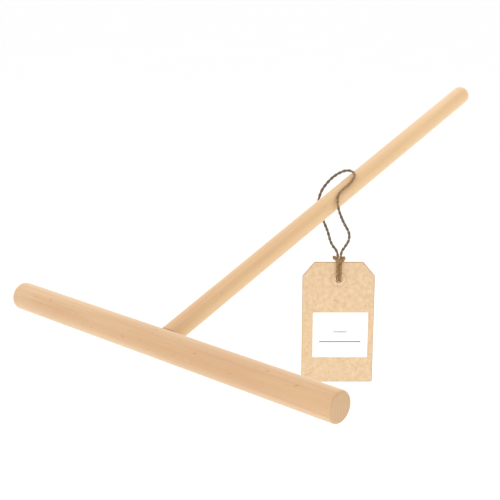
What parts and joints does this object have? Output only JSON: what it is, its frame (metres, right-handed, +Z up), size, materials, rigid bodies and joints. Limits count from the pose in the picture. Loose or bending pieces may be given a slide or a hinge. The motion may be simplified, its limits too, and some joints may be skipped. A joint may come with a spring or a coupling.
{
  "type": "batter spreader",
  "caption": "T-shaped wooden batter spreader for crepe pans: a round crossbar on a thin round handle, with a card swing tag hanging on a loop of twine.",
  "frame": {"origin": "on the handle's axis, at the middle of the stretch that the hand holds", "axes": "+X along the crossbar, +Z up as the tool is held, handle rising 21.1 degrees towards +Y"},
  "size_m": [0.18, 0.2116, 0.1292],
  "materials": {
    "beech_wood": "bare sanded beech, pale pinkish tan with short brown ray flecks",
    "kraft_card": "uncoated brown kraft card with fine fibres",
    "patch_paper": "thin kraft paper ring, a little paler than the card",
    "label_paper": "white matt paper sticker",
    "jute_twine": "twisted natural jute with stray fibres"
  },
  "bodies": {
    "spreader": {"crossbar": "beech_wood", "handle": "beech_wood"},
    "saddle": {"twine_saddle": "jute_twine"},
    "strands": {"twine_left_strand": "jute_twine", "twine_right_strand": "jute_twine"},
    "hitch": {"twine_hitch": "jute_twine"},
    "tag": {"tag_card": "kraft_card", "hole_patch_front": "patch_paper", "hole_patch_back": "patch_paper", "label_sticker": "label_paper", "twine_left_leg": "jute_twine", "twine_right_leg": "jute_twine"}
  },
  "joints": [
    {"name": "tag_slide", "type": "slide", "parent": "spreader", "child": "saddle", "axis": [0, 0.933, 0.36], "range_m": [-0.036, 0.082]},
    {"name": "tag_swing", "type": "hinge", "parent": "saddle", "child": "strands", "pos_m": [0, -0.0515, -0.01987], "axis": [0, 0.933, 0.36], "range_deg": [-90, 90], "deforming": ["twine_saddle"]},
    {"name": "tag_spin", "type": "hinge", "parent": "strands", "child": "hitch", "pos_m": [0.0008, -0.05233, -0.05117], "axis": [0, 0, 1], "range_deg": [-180, 180], "deforming": ["twine_left_strand", "twine_right_strand"]},
    {"name": "tag_flap", "type": "hinge", "parent": "hitch", "child": "tag", "pos_m": [0.0008, -0.05233, -0.05087], "axis": [0.723, 0.6909, 0], "range_deg": [-75, 75], "deforming": ["twine_hitch"]}
  ]
}
